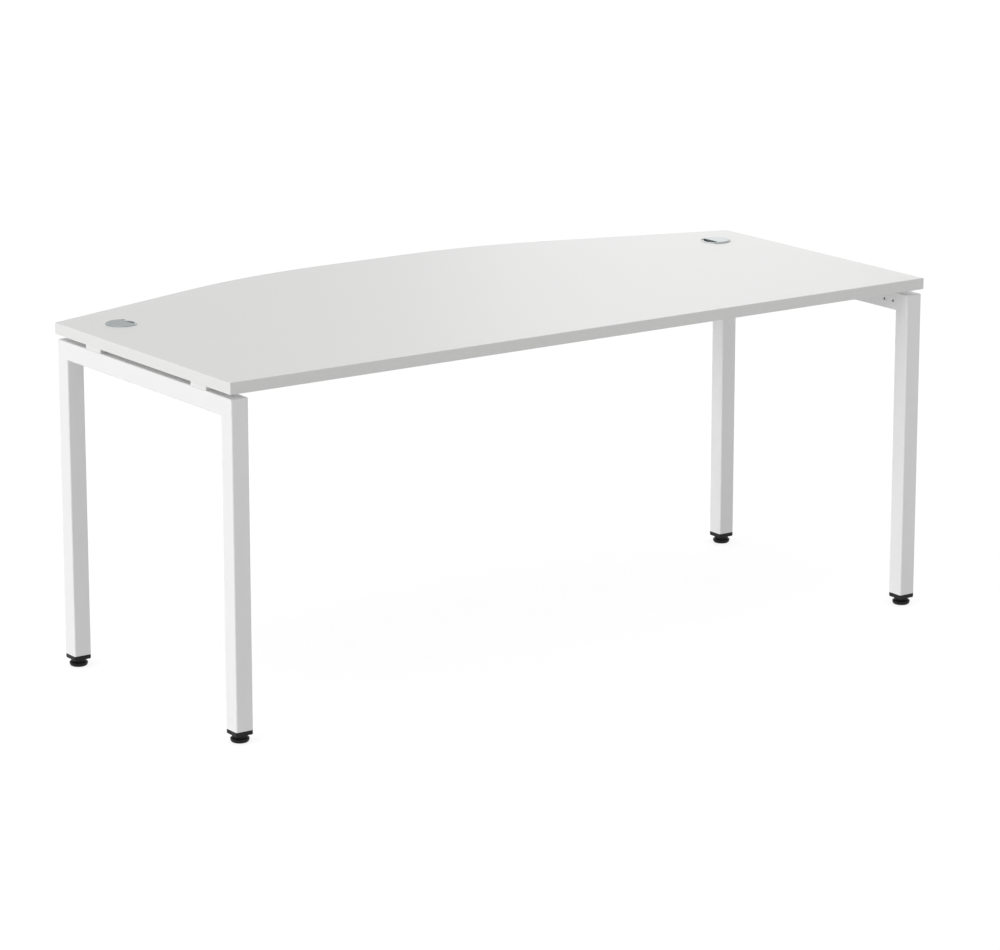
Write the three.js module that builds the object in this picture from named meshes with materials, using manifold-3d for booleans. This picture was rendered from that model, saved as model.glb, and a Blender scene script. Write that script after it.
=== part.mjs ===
// Executive desk: a bow-fronted melamine top on two welded steel side frames.
// Lengths are millimetres. +X runs along the user's straight edge, +Y points from the user to the
// visitor and +Z is up. The origin lies on the floor, under the middle of the desk's outline.

import * as THREE from 'three';
import { mergeVertices } from 'three/addons/utils/BufferGeometryUtils.js';
import Module from 'manifold-3d';

const wasm = await Module();
wasm.setup();

// Driving dimensions of the worktop
const deskWidth = 1800;
const sideDepth = 700;
const overallDepth = 890;
const worktopHeight = 750;
const topThickness = 25;
const bowCornerShare = 0.3405;
const bowBlendShare = 0.637;
const bandThickness = 2;
const bandEdgeRadius = 1;

// Side frames of square tube, set in from the edges of the top and held below it on spacers. Places along
// a side frame are given from the front edge of the top or from the rear corner of its side.
const tubeSize = 40;
const tubeWall = 2;
const tubeCornerRadius = 3;
const frameCornerRadius = 4;
const frameInset = 3;
const topGap = 10;
const spacerLength = 60;
const spacerWidth = 38;
const spacerPlaces = { front: 131, rear: 150 };

// Tapped holes in the crossbars' inner walls, the same from the front edge and from the rear corner
const accessoryHolePlaces = [52, 81];
const collarRadius = 4.8;
const collarLength = 4;

// Beams that tie the side frames together
const beamWidth = 20;
const beamHeight = 40;
const beamWall = 2;
const beamCornerRadius = 2;
const beamPlaces = { front: 225, rear: 140 };
const endPlateLength = 64;
const endPlateHeight = 34;
const endPlateThickness = 4;
const endPlateCornerRadius = 4;
const boltSpacing = 44;
const ventRadius = 5;

// Fasteners: M6 screws and bolts, and the M10 thread of the levelling feet
const screwRadius = 3;
const screwHeadRadius = 5.25;
const screwHeadHeight = 3.4;
const screwPointChamfer = 0.8;
const boltLength = 14;
const topScrewGrip = 12;
const accessRadius = 7;
const insertRadius = 5;
const insertLength = 13;
const levellerRadius = 5;
const nutAcrossFlats = 17;
const nutThickness = 8;

// End caps and levelling feet, from the floor to the lower end of the leg
const footHeight = 26;
const capFlangeHeight = 10;
const capEdgeRadius = 2.6;
const capSpigotHeight = 28;
const capSpigotRelief = 0.7;
const capSpigotWall = 2.2;
const capBossRadius = 12;
const capBossHeight = 20;
const capWebThickness = 2;
const capWebHeight = 16;
const capRibHeight = 2;
const capRibHeights = [7, 18];
const hubRadius = 16;
const hubFluteDepth = 0.6;
const hubFlutes = 12;
const levellerReach = 24;
const padRadius = 19.75;
const padBaseRadius = 14.5;
const padHeight = 9.6;
const padWaistHeight = 7.6;
const padShoulder = 2.4;
const padSocketDepth = 5;

// Cable grommets, placed from the side edges and from the rear corners of the sides
const grommetFromSide = 107;
const grommetFromRear = 93;
const grommetHoleRadius = 30;
const linerWall = 1.7;
const linerLength = 21;
const linerFlangeRadius = 32;
const linerFlangeHeight = 1.2;
const linerEdge = 0.4;
const linerLeadIn = 0.8;
const coverRadius = 34;
const coverThickness = 1.5;
const coverDome = 0.7;
const coverDomeWidth = 2.6;
const coverSkirtDepth = 8;
const coverSkirtWall = 1.2;
const portOffset = 13;
const portHalfWidth = 24;
const pivotRadius = 3;
const pivotHeadRadius = 4.5;
const pivotHeadHeight = 1;
const shutterThickness = 1.2;
const tabLength = 10;
const tabThickness = 3;
const tabDepth = 4;
const tabOffset = 8.5;

// Fits: the clearance between neighbours, and how far a cutter runs past what it cuts
const clearance = 0.3;
const overrun = 6;
const weldTolerance = 0.0005;

// Facet counts
const bowDivisions = 6;
const cornerDivisions = 2;
const plainCornerDivisions = 1;
const edgeSteps = 2;
const holeSides = 10;
const collarSides = 8;
const levellerSides = 16;
const padSides = 24;
const grommetSides = 32;
const hexSides = 6;
const fluteShares = [0, 0.25, 0.5, 0.75];
const padBellyShares = [0, 0.33, 0.66, 1];
const padShoulderShares = [0.5, 1];

// Places that follow from the sizes above
const frontEdge = -overallDepth / 2;
const rearApex = overallDepth / 2;
const sideRear = frontEdge + sideDepth;
const halfWidth = deskWidth / 2;
const topUnderside = worktopHeight - topThickness;
const frameTop = topUnderside - topGap;
const frameFront = frontEdge + frameInset;
const frameRear = sideRear - frameInset;
const crossbarAxisHeight = frameTop - tubeSize / 2;
const frameCentre = halfWidth - frameInset - tubeSize / 2;
const frameInnerFace = halfWidth - frameInset - tubeSize;
const boreCornerRadius = tubeCornerRadius - tubeWall / 2;
const holeRadius = screwRadius + clearance;
const left = -1;
const right = 1;
const sideNames = { [left]: 'left', [right]: 'right' };
const ends = ['front', 'rear'];

// Slanted and bowed rear edge: a straight slant leaves each side at its rear corner, and an arc blends
// it into a short straight stretch in the middle. The bow's corner is where these two lines would meet.
const bowCorner = halfWidth * bowCornerShare;
const slantAngle = Math.atan2(rearApex - sideRear, halfWidth - bowCorner);
const slantReach = halfWidth * Math.sin(slantAngle) + sideRear * Math.cos(slantAngle);
const bowRadius = bowCorner * bowBlendShare / Math.tan(slantAngle / 2);
const arcCentreX = bowCorner * (1 - bowBlendShare);
const arcCentreY = rearApex - bowRadius;

// Solids: closed geometry in, closed geometry out

function toSolid(geometry) {
  const bare = geometry.clone();
  bare.deleteAttribute('normal');
  bare.deleteAttribute('uv');
  const merged = mergeVertices(bare, weldTolerance);
  const corners = merged.index.array;
  const kept = [];
  for (let i = 0; i < corners.length; i += 3) {
    const [a, b, c] = [corners[i], corners[i + 1], corners[i + 2]];
    if (a !== b && b !== c && c !== a) kept.push(a, b, c);
  }
  const vertProperties = new Float32Array(merged.getAttribute('position').array);
  const triVerts = new Uint32Array(kept);
  return new wasm.Manifold(new wasm.Mesh({ numProp: 3, vertProperties, triVerts }));
}

function toGeometry(solid) {
  const mesh = solid.getMesh();
  const geometry = new THREE.BufferGeometry();
  geometry.setAttribute('position', new THREE.BufferAttribute(mesh.vertProperties, mesh.numProp));
  geometry.setIndex(new THREE.BufferAttribute(mesh.triVerts, 1));
  geometry.computeVertexNormals();
  return geometry;
}

function cut(body, ...cutters) {
  const result = cutters.reduce((rest, cutter) => rest.subtract(toSolid(cutter)), toSolid(body));
  return toGeometry(result);
}

function join(first, ...others) {
  return toGeometry(others.reduce((sum, other) => sum.add(toSolid(other)), toSolid(first)));
}

function common(first, second) {
  return toGeometry(toSolid(first).intersect(toSolid(second)));
}

// Basic forms, all given by their limits

function block(x, y, z) {
  const size = [x, y, z].map(([low, high]) => high - low);
  const centre = [x, y, z].map(([low, high]) => (low + high) / 2);
  return new THREE.BoxGeometry(...size).translate(...centre);
}

function pole(radius, bottom, top, sides = holeSides) {
  const cylinder = new THREE.CylinderGeometry(radius, radius, top - bottom, sides);
  return cylinder.rotateX(Math.PI / 2).translate(0, 0, (bottom + top) / 2);
}

function poleAlongX(radius, from, to, sides = holeSides) {
  const cylinder = new THREE.CylinderGeometry(radius, radius, Math.abs(to - from), sides);
  return cylinder.rotateZ(Math.PI / 2).translate((from + to) / 2, 0, 0);
}

function slab(shape, bottom, top, curveSegments = cornerDivisions) {
  const options = { depth: top - bottom, bevelEnabled: false, curveSegments };
  return new THREE.ExtrudeGeometry(shape, options).translate(0, 0, bottom);
}

// A slab whose upper and lower edges are rounded; the shape is the outline less the edge radius.
function roundedSlab(shape, bottom, top, edgeRadius, curveSegments = cornerDivisions) {
  const options = {
    depth: top - bottom - 2 * edgeRadius,
    bevelThickness: edgeRadius,
    bevelSize: edgeRadius,
    bevelSegments: edgeSteps,
    curveSegments,
  };
  return new THREE.ExtrudeGeometry(shape, options).translate(0, 0, bottom + edgeRadius);
}

// A slab drawn in the Y-Z plane and extruded along X
function sideSlab(shape, from, to, divisions = cornerDivisions) {
  return slab(shape, from, to, divisions).rotateX(Math.PI / 2).rotateZ(Math.PI / 2);
}

function turned(outline, sides) {
  const points = outline.map(([radius, height]) => new THREE.Vector2(radius, height));
  return new THREE.LatheGeometry(points, sides).rotateX(Math.PI / 2);
}

function polygon(points) {
  return new THREE.Shape(points.map(([x, y]) => new THREE.Vector2(x, y)));
}

function roundedRectangle(width, height, radius) {
  const [x, y] = [width / 2 - radius, height / 2 - radius];
  const shape = new THREE.Shape();
  shape.absarc(x, y, radius, 0, Math.PI / 2);
  shape.absarc(-x, y, radius, Math.PI / 2, Math.PI);
  shape.absarc(-x, -y, radius, Math.PI, 1.5 * Math.PI);
  shape.absarc(x, -y, radius, 1.5 * Math.PI, 2 * Math.PI);
  return shape;
}

// A length of hollow tube along +Z, open at both ends
function hollowTube(width, height, wall, radius, bottom, top, divisions = cornerDivisions) {
  const shape = roundedRectangle(width, height, radius);
  shape.holes.push(roundedRectangle(width - 2 * wall, height - 2 * wall, radius - wall / 2));
  return slab(shape, bottom, top, divisions);
}

// Finishes, one new material for each mesh

const finish = {
  melamine: () => new THREE.MeshStandardMaterial({ color: 0xf0f0ef, roughness: 0.5, metalness: 0 }),
  banding: () => new THREE.MeshStandardMaterial({ color: 0xf1f1f0, roughness: 0.4, metalness: 0 }),
  coating: () => new THREE.MeshStandardMaterial({ color: 0xf4f4f4, roughness: 0.45, metalness: 0 }),
  whitePlastic: () => new THREE.MeshStandardMaterial({ color: 0xf2f2f2, roughness: 0.5, metalness: 0 }),
  blackPlastic: () => new THREE.MeshStandardMaterial({ color: 0x1e1e1e, roughness: 0.55, metalness: 0 }),
  zinc: () => new THREE.MeshStandardMaterial({ color: 0xb9bcc0, roughness: 0.35, metalness: 1 }),
  brass: () => new THREE.MeshStandardMaterial({ color: 0xb5a36a, roughness: 0.4, metalness: 1 }),
  brightMetal: () => new THREE.MeshStandardMaterial({ color: 0xd9dbdc, roughness: 0.2, metalness: 1 }),
  satinMetal: () => new THREE.MeshStandardMaterial({ color: 0xa7abac, roughness: 0.4, metalness: 1 }),
};

function piece(name, geometry, material) {
  const mesh = new THREE.Mesh(geometry, material());
  mesh.name = name;
  return mesh;
}

function assembly(...children) {
  const group = new THREE.Group();
  group.add(...children.flat());
  return group;
}

// Worktop: board, edge banding and the holes for inserts and grommets

function slantHeight(x, inset) {
  return (slantReach - inset - x * Math.sin(slantAngle)) / Math.cos(slantAngle);
}

function worktopOutline(inset) {
  const x = halfWidth - inset;
  const arcRadius = bowRadius - inset;
  const shape = new THREE.Shape();
  shape.moveTo(-x, frontEdge + inset);
  shape.lineTo(x, frontEdge + inset);
  shape.lineTo(x, slantHeight(x, inset));
  shape.absarc(arcCentreX, arcCentreY, arcRadius, Math.PI / 2 - slantAngle, Math.PI / 2);
  shape.absarc(-arcCentreX, arcCentreY, arcRadius, Math.PI / 2, Math.PI / 2 + slantAngle);
  shape.lineTo(-x, slantHeight(x, inset));
  return shape;
}

function grommetPlace(side) {
  return [side * (halfWidth - grommetFromSide), sideRear - grommetFromRear];
}

// The place along a side that lies a distance in from its front or rear end
function alongSide(end, distance) {
  return end === 'front' ? frontEdge + distance : sideRear - distance;
}

function spacerPlace(side, end) {
  return [side * frameCentre, alongSide(end, spacerPlaces[end])];
}

function tabletopBoard() {
  const blank = slab(worktopOutline(bandThickness + clearance), topUnderside, worktopHeight, bowDivisions);
  const cutters = [];
  for (const side of [left, right]) {
    const hole = pole(grommetHoleRadius, topUnderside - overrun, worktopHeight + overrun, grommetSides);
    cutters.push(hole.translate(...grommetPlace(side), 0));
    for (const end of ends) {
      const depth = insertLength + 2 * clearance;
      const pocket = pole(insertRadius + clearance, topUnderside - overrun, topUnderside + depth);
      cutters.push(pocket.translate(...spacerPlace(side, end), 0));
    }
  }
  return cut(blank, ...cutters);
}

// The banding as one closed ring round the top, before it is parted at the mitred corners
function bandingRing() {
  const outline = worktopOutline(bandEdgeRadius);
  const rim = roundedSlab(outline, topUnderside, worktopHeight, bandEdgeRadius, bowDivisions);
  const inside = worktopOutline(bandThickness);
  return cut(rim, slab(inside, topUnderside - overrun, worktopHeight + overrun, bowDivisions));
}

// The zones bounded by the mitre lines at the front and rear corners, moved inwards by a shift
function frontZone(shift) {
  const reach = sideDepth / 4;
  return polygon([
    [-halfWidth - overrun, frontEdge - overrun + shift],
    [halfWidth + overrun, frontEdge - overrun + shift],
    [halfWidth - reach, frontEdge + reach + shift],
    [-halfWidth + reach, frontEdge + reach + shift],
  ]);
}

function rearZone(shift) {
  const innerCorner = slantHeight(halfWidth - bandThickness, bandThickness);
  const mitreSlope = (sideRear - innerCorner) / bandThickness;
  const reach = sideDepth / 4;
  const outer = sideRear + mitreSlope * overrun - shift;
  const inner = sideRear - mitreSlope * reach - shift;
  return polygon([
    [halfWidth + overrun, outer],
    [halfWidth + overrun, rearApex + overrun],
    [-halfWidth - overrun, rearApex + overrun],
    [-halfWidth - overrun, outer],
    [-halfWidth + reach, inner],
    [halfWidth - reach, inner],
  ]);
}

function edgeBands() {
  const ring = bandingRing();
  const mitreShift = clearance * Math.SQRT2;
  const thick = (shape) => slab(shape, topUnderside - overrun, worktopHeight + overrun);
  const sides = cut(ring, thick(frontZone(mitreShift)), thick(rearZone(mitreShift)));
  const half = (side) => {
    const x = [side * halfWidth / 2, side * (halfWidth + overrun)].sort((a, b) => a - b);
    return block(x, [frontEdge, sideRear], [topUnderside - overrun, worktopHeight + overrun]);
  };
  return [
    piece('edge_band_front', common(ring, thick(frontZone(0))), finish.banding),
    piece('edge_band_rear', common(ring, thick(rearZone(0))), finish.banding),
    piece('edge_band_left', common(sides, half(left)), finish.banding),
    piece('edge_band_right', common(sides, half(right)), finish.banding),
  ];
}

// Side frames: two legs and a crossbar of the same tube, mitred, welded and ground round

function mitreZone(shift) {
  const reach = 2 * tubeSize;
  const shape = polygon([
    [frameFront - overrun, frameTop + overrun + shift],
    [frameFront + reach, frameTop - reach + shift],
    [frameRear - reach, frameTop - reach + shift],
    [frameRear + overrun, frameTop + overrun + shift],
  ]);
  return sideSlab(shape, -tubeSize, tubeSize);
}

function frameEnvelope() {
  const low = footHeight - overrun;
  const shape = new THREE.Shape();
  shape.moveTo(frameFront, low);
  shape.lineTo(frameRear, low);
  const arcHeight = frameTop - frameCornerRadius;
  shape.absarc(frameRear - frameCornerRadius, arcHeight, frameCornerRadius, 0, Math.PI / 2);
  shape.absarc(frameFront + frameCornerRadius, arcHeight, frameCornerRadius, Math.PI / 2, Math.PI);
  return sideSlab(shape, -tubeSize, tubeSize);
}

function frameLeg(axisY) {
  const tube = hollowTube(tubeSize, tubeSize, tubeWall, tubeCornerRadius, footHeight, frameTop);
  const placed = common(tube.translate(0, axisY, 0), frameEnvelope());
  return cut(placed, mitreZone(-clearance / Math.SQRT2));
}

// Holes along the crossbar for accessories at both ends and for the beams' bolts
function crossbarHolePlaces() {
  return ends.flatMap((end) => [
    ...accessoryHolePlaces.map((place) => alongSide(end, place)),
    ...boltPlaces.map((shift) => alongSide(end, beamPlaces[end]) + shift),
  ]);
}

function crossbar(side) {
  const inward = -side;
  const tube = hollowTube(tubeSize, tubeSize, tubeWall, tubeCornerRadius, frameFront, frameRear);
  const placed = common(tube.rotateX(-Math.PI / 2).translate(0, 0, crossbarAxisHeight), frameEnvelope());
  const mitred = common(placed, mitreZone(clearance / Math.SQRT2));
  const wallFace = inward * (tubeSize / 2 - tubeWall);
  const collarLimits = [wallFace + inward * tubeWall / 2, wallFace - inward * collarLength];
  const collars = crossbarHolePlaces().map((y) =>
    poleAlongX(collarRadius, ...collarLimits, collarSides).translate(0, y, crossbarAxisHeight));
  const tapped = crossbarHolePlaces().map((y) =>
    poleAlongX(holeRadius, 0, inward * (tubeSize / 2 + overrun)).translate(0, y, crossbarAxisHeight));
  const screwHoles = ends.flatMap((end) => [
    pole(holeRadius, crossbarAxisHeight, frameTop + overrun),
    pole(accessRadius, frameTop - tubeSize - overrun, crossbarAxisHeight),
  ].map((hole) => hole.translate(0, alongSide(end, spacerPlaces[end]), 0)));
  return cut(join(mitred, ...collars), ...tapped, ...screwHoles);
}

function sideFrame(side) {
  const name = sideNames[side];
  const frame = assembly(
    piece(`${name}_leg_front`, frameLeg(frameFront + tubeSize / 2), finish.coating),
    piece(`${name}_leg_rear`, frameLeg(frameRear - tubeSize / 2), finish.coating),
    piece(`${name}_crossbar`, crossbar(side), finish.coating),
  );
  frame.position.x = side * frameCentre;
  return frame;
}

// A screw along +Z with its head below zero and a chamfered point
function screw(length) {
  return turned([
    [0, -screwHeadHeight],
    [screwHeadRadius - screwPointChamfer, -screwHeadHeight],
    [screwHeadRadius, -screwHeadHeight + screwPointChamfer],
    [screwHeadRadius, 0],
    [screwRadius, 0],
    [screwRadius, length - screwPointChamfer],
    [screwRadius - screwPointChamfer, length],
    [0, length],
  ], holeSides);
}

// Spacer, screw and threaded insert that hold the top on the crossbar at one place
function topFixing(side, end) {
  const name = `${sideNames[side]}_${end}`;
  const outline = roundedRectangle(spacerWidth, spacerLength, tubeCornerRadius);
  const spacer = cut(
    slab(outline, frameTop + clearance, topUnderside - clearance, plainCornerDivisions),
    pole(holeRadius, frameTop - overrun, topUnderside + overrun),
  );
  const seat = frameTop - tubeWall - clearance;
  const length = topUnderside + topScrewGrip - seat;
  const insertBottom = topUnderside + clearance;
  const insert = cut(
    pole(insertRadius, insertBottom, insertBottom + insertLength),
    pole(holeRadius, insertBottom - overrun, insertBottom + insertLength + overrun),
  );
  const fixing = assembly(
    piece(`spacer_${name}`, spacer, finish.whitePlastic),
    piece(`top_screw_${name}`, screw(length).translate(0, 0, seat), finish.zinc),
    piece(`top_insert_${name}`, insert, finish.brass),
  );
  fixing.position.set(...spacerPlace(side, end), 0);
  return fixing;
}

// Longitudinal beam: a rectangular tube between two vented end plates that are bolted to the crossbars

const boltPlaces = [-boltSpacing / 2, boltSpacing / 2];
const plateOuterFace = frameInnerFace - clearance;
const plateInnerFace = plateOuterFace - endPlateThickness;

function beamPlate(side) {
  const outline = roundedRectangle(endPlateLength, endPlateHeight, endPlateCornerRadius);
  const limits = [side * plateInnerFace, side * plateOuterFace].sort((a, b) => a - b);
  const boltHoles = boltPlaces.map((y) => poleAlongX(holeRadius, -halfWidth, halfWidth).translate(0, y, 0));
  const vent = poleAlongX(ventRadius, -halfWidth, halfWidth);
  return cut(sideSlab(outline, ...limits, plainCornerDivisions), ...boltHoles, vent);
}

function beamTube() {
  const reach = plateInnerFace - clearance;
  const section = [beamHeight, beamWidth, beamWall, beamCornerRadius];
  return hollowTube(...section, -reach, reach, plainCornerDivisions).rotateY(Math.PI / 2);
}

function beamAssembly(end) {
  const parts = [piece(`beam_${end}`, beamTube(), finish.coating)];
  for (const side of [left, right]) {
    const place = `${sideNames[side]}_${end}`;
    parts.push(piece(`beam_plate_${place}`, beamPlate(side), finish.coating));
    boltPlaces.forEach((y, index) => {
      const bolt = piece(`beam_bolt_${place}_${index + 1}`, screw(boltLength), finish.zinc);
      bolt.position.set(side * (plateInnerFace - clearance), y, 0);
      bolt.rotation.y = side * Math.PI / 2;
      parts.push(bolt);
    });
  }
  const group = assembly(parts);
  group.position.set(0, alongSide(end, beamPlaces[end]), crossbarAxisHeight);
  return group;
}

// Leg end: everything here is drawn round the leg's axis, with zero at the lower end of the tube

function hexPrism(acrossFlats, bottom, top) {
  return pole(acrossFlats / 2 / Math.cos(Math.PI / hexSides), bottom, top, hexSides);
}

function legCap() {
  const bore = tubeSize / 2 - tubeWall;
  const seat = -clearance;
  const square = (half, radius) => roundedRectangle(2 * half, 2 * half, radius);
  const flangeHalf = tubeSize / 2 - capEdgeRadius;
  const outline = square(flangeHalf, tubeCornerRadius - capEdgeRadius);
  const flange = cut(
    roundedSlab(outline, -capFlangeHeight, capFlangeHeight, capEdgeRadius, plainCornerDivisions),
    block([-tubeSize, tubeSize], [-tubeSize, tubeSize], [seat, 2 * capFlangeHeight]),
  );
  const root = seat - capEdgeRadius;
  const spigotHalf = bore - clearance - capSpigotRelief;
  const spigotShape = square(spigotHalf, boreCornerRadius);
  spigotShape.holes.push(square(spigotHalf - capSpigotWall, boreCornerRadius / 2));
  const ribShape = square(bore - clearance, boreCornerRadius);
  ribShape.holes.push(square(spigotHalf - capSpigotWall / 2, boreCornerRadius));
  const ribs = capRibHeights.map((height) =>
    slab(ribShape, height, height + capRibHeight, plainCornerDivisions));
  const webHalf = capWebThickness / 2;
  const span = [-spigotHalf + capSpigotWall / 2, spigotHalf - capSpigotWall / 2];
  const body = join(
    flange,
    slab(spigotShape, root, capSpigotHeight, plainCornerDivisions),
    ...ribs,
    block(span, [-webHalf, webHalf], [root, capWebHeight]),
    block([-webHalf, webHalf], span, [root, capWebHeight]),
    pole(capBossRadius, root, capBossHeight, levellerSides),
  );
  return cut(
    body,
    pole(levellerRadius + clearance, -capFlangeHeight - overrun, capBossHeight + overrun, levellerSides),
    hexPrism(nutAcrossFlats + 2 * clearance, -capFlangeHeight - overrun, 0),
  );
}

function legNut() {
  const top = -clearance;
  return cut(
    hexPrism(nutAcrossFlats, top - nutThickness + clearance, top),
    pole(levellerRadius + clearance, -footHeight, footHeight, levellerSides),
  );
}

function flutedOutline(radius, depth, count) {
  const points = [];
  for (let flute = 0; flute < count; flute += 1) {
    for (const share of fluteShares) {
      const angle = (flute + share) / count * 2 * Math.PI;
      const r = radius - depth * (1 - Math.cos(share * 2 * Math.PI)) / 2;
      points.push([r * Math.cos(angle), r * Math.sin(angle)]);
    }
  }
  return polygon(points);
}

const hubTop = -capFlangeHeight - clearance;
const padTop = padHeight - footHeight;
const hubBottom = padTop + clearance;

function footScrew() {
  const hub = slab(flutedOutline(hubRadius, hubFluteDepth, hubFlutes), hubBottom, hubTop);
  const spindle = turned([
    [0, padTop - padSocketDepth + clearance],
    [levellerRadius, padTop - padSocketDepth + clearance],
    [levellerRadius, levellerReach - screwPointChamfer],
    [levellerRadius - screwPointChamfer, levellerReach],
    [0, levellerReach],
  ], levellerSides);
  return join(hub, spindle);
}

// Pad with a bellied side: a quarter ellipse up from the base to the waist, and a rounded shoulder
function footPad() {
  const floor = -footHeight;
  const waist = floor + padWaistHeight;
  const belly = padBellyShares.map((share) => {
    const angle = share * Math.PI / 2;
    const r = padBaseRadius + (padRadius - padBaseRadius) * Math.sin(angle);
    return [r, waist - padWaistHeight * Math.cos(angle)];
  });
  const shoulder = padShoulderShares.map((share) => {
    const angle = share * Math.PI / 2;
    const r = padRadius - padShoulder * (1 - Math.cos(angle));
    return [r, waist + (padTop - waist) * Math.sin(angle)];
  });
  const socket = levellerRadius + clearance;
  return turned([
    [0, floor],
    ...belly,
    ...shoulder,
    [socket, padTop],
    [socket, padTop - padSocketDepth],
    [0, padTop - padSocketDepth],
  ], padSides);
}

function legEnd(side, end) {
  const name = `${sideNames[side]}_${end}`;
  const parts = assembly(
    piece(`leg_cap_${name}`, legCap(), finish.blackPlastic),
    piece(`leg_nut_${name}`, legNut(), finish.zinc),
    piece(`foot_screw_${name}`, footScrew(), finish.blackPlastic),
    piece(`foot_pad_${name}`, footPad(), finish.blackPlastic),
  );
  const legAxes = { front: frameFront + tubeSize / 2, rear: frameRear - tubeSize / 2 };
  parts.position.set(side * frameCentre, legAxes[end], footHeight);
  return parts;
}

// Cable grommet: drawn round its own axis, with zero at the worktop and the cable port towards +X

const linerOuter = grommetHoleRadius - clearance;
const linerInner = linerOuter - linerWall;
const flangeBottom = clearance;
const flangeTop = flangeBottom + linerFlangeHeight;
const coverUnderside = flangeTop + clearance;
const skirtOuter = linerInner - clearance;
const skirtInner = skirtOuter - coverSkirtWall;
const shutterTop = coverUnderside - clearance;
const shutterBottom = shutterTop - shutterThickness;

function grommetLiner() {
  return turned([
    [linerInner, -linerLength],
    [linerOuter - linerLeadIn, -linerLength],
    [linerOuter, -linerLength + 2 * linerLeadIn],
    [linerOuter, flangeBottom],
    [linerFlangeRadius, flangeBottom],
    [linerFlangeRadius, flangeTop - linerEdge],
    [linerFlangeRadius - linerEdge, flangeTop],
    [linerInner, flangeTop],
    [linerInner, -linerLength],
  ], grommetSides);
}

function portCutter(offset, halfWidthOfPort) {
  return block(
    [offset, coverRadius + overrun],
    [-halfWidthOfPort, halfWidthOfPort],
    [-linerLength, coverRadius],
  );
}

function grommetCover() {
  const lipInner = linerFlangeRadius + clearance;
  const coverTop = coverUnderside + coverThickness;
  const shell = turned([
    [0, coverUnderside],
    [skirtInner, coverUnderside],
    [skirtInner, coverUnderside - coverSkirtDepth],
    [skirtOuter, coverUnderside - coverSkirtDepth],
    [skirtOuter, coverUnderside],
    [lipInner, coverUnderside],
    [lipInner, flangeBottom],
    [coverRadius, flangeBottom],
    [coverRadius, coverTop - coverDome],
    [coverRadius - coverDomeWidth / 4, coverTop - coverDome / 4],
    [coverRadius - coverDomeWidth, coverTop],
    [0, coverTop],
  ], grommetSides);
  const headTop = shutterBottom - clearance;
  const pivot = pole(pivotRadius, headTop - pivotHeadHeight / 2, coverUnderside + coverThickness / 2);
  const head = pole(pivotHeadRadius, headTop - pivotHeadHeight, headTop);
  return join(cut(shell, portCutter(portOffset, portHalfWidth)), pivot, head);
}

function grommetShutter() {
  const radius = skirtInner - clearance;
  const disc = cut(
    pole(radius, shutterBottom, shutterTop, grommetSides),
    portCutter(portOffset - clearance, coverRadius),
    pole(pivotRadius + clearance, shutterBottom - overrun, shutterTop + overrun),
  );
  const tab = block(
    [tabOffset, tabOffset + tabThickness],
    [-tabLength / 2, tabLength / 2],
    [shutterBottom - tabDepth, shutterBottom + shutterThickness / 2],
  );
  return join(disc, tab);
}

function grommet(side) {
  const name = sideNames[side];
  const parts = assembly(
    piece(`grommet_liner_${name}`, grommetLiner(), finish.brightMetal),
    piece(`grommet_cover_${name}`, grommetCover(), finish.satinMetal),
    piece(`grommet_shutter_${name}`, grommetShutter(), finish.satinMetal),
  );
  parts.position.set(...grommetPlace(side), worktopHeight);
  parts.rotation.z = side === left ? 0 : Math.PI;
  return parts;
}

// The whole desk

function worktop() {
  return assembly(piece('tabletop_board', tabletopBoard(), finish.melamine), edgeBands());
}

function desk() {
  const group = assembly(worktop(), ends.map((end) => beamAssembly(end)));
  for (const side of [left, right]) {
    group.add(sideFrame(side), grommet(side));
    for (const end of ends) {
      group.add(topFixing(side, end), legEnd(side, end));
    }
  }
  return group;
}

const executiveDesk = desk();

export default executiveDesk;
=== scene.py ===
# %% [markdown]
# # An executive desk, dressed in Blender
# The desk has a white bow-fronted top on two frames of welded square tube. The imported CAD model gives
# every piece its size and place. This lesson models the visible pieces again with softer edges, real
# threads and finer curves, gives each one a procedural finish, and lights it like a catalogue picture.

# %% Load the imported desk
import math

import bmesh
import bpy
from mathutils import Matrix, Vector


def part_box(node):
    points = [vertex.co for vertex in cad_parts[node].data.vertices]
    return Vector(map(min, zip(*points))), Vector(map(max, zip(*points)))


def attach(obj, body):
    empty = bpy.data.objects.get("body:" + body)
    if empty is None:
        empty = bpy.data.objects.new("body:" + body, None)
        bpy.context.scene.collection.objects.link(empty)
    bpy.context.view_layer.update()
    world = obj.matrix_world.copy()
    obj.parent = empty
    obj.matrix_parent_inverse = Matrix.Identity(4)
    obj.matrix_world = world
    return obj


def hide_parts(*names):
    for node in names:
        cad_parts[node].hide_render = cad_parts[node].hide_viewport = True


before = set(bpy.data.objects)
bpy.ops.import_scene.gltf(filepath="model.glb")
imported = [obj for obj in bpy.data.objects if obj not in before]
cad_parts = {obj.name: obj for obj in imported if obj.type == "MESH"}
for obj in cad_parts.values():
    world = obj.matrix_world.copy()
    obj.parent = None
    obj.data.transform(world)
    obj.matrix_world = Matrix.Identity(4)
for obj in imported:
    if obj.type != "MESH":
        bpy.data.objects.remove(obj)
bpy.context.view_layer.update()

# %% [markdown]
# ## Sizes
# Blender works in metres and joiners work in millimetres, so every size below is in millimetres and is
# turned to metres at the last moment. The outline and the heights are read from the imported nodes.

# %% Millimetres and the desk's main planes
MM = 0.001


def node_box(name):
    """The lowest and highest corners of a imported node, in millimetres."""
    low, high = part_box(name)
    return low / MM, high / MM


def node_middle(name):
    low, high = node_box(name)
    return (low + high) / 2


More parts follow.
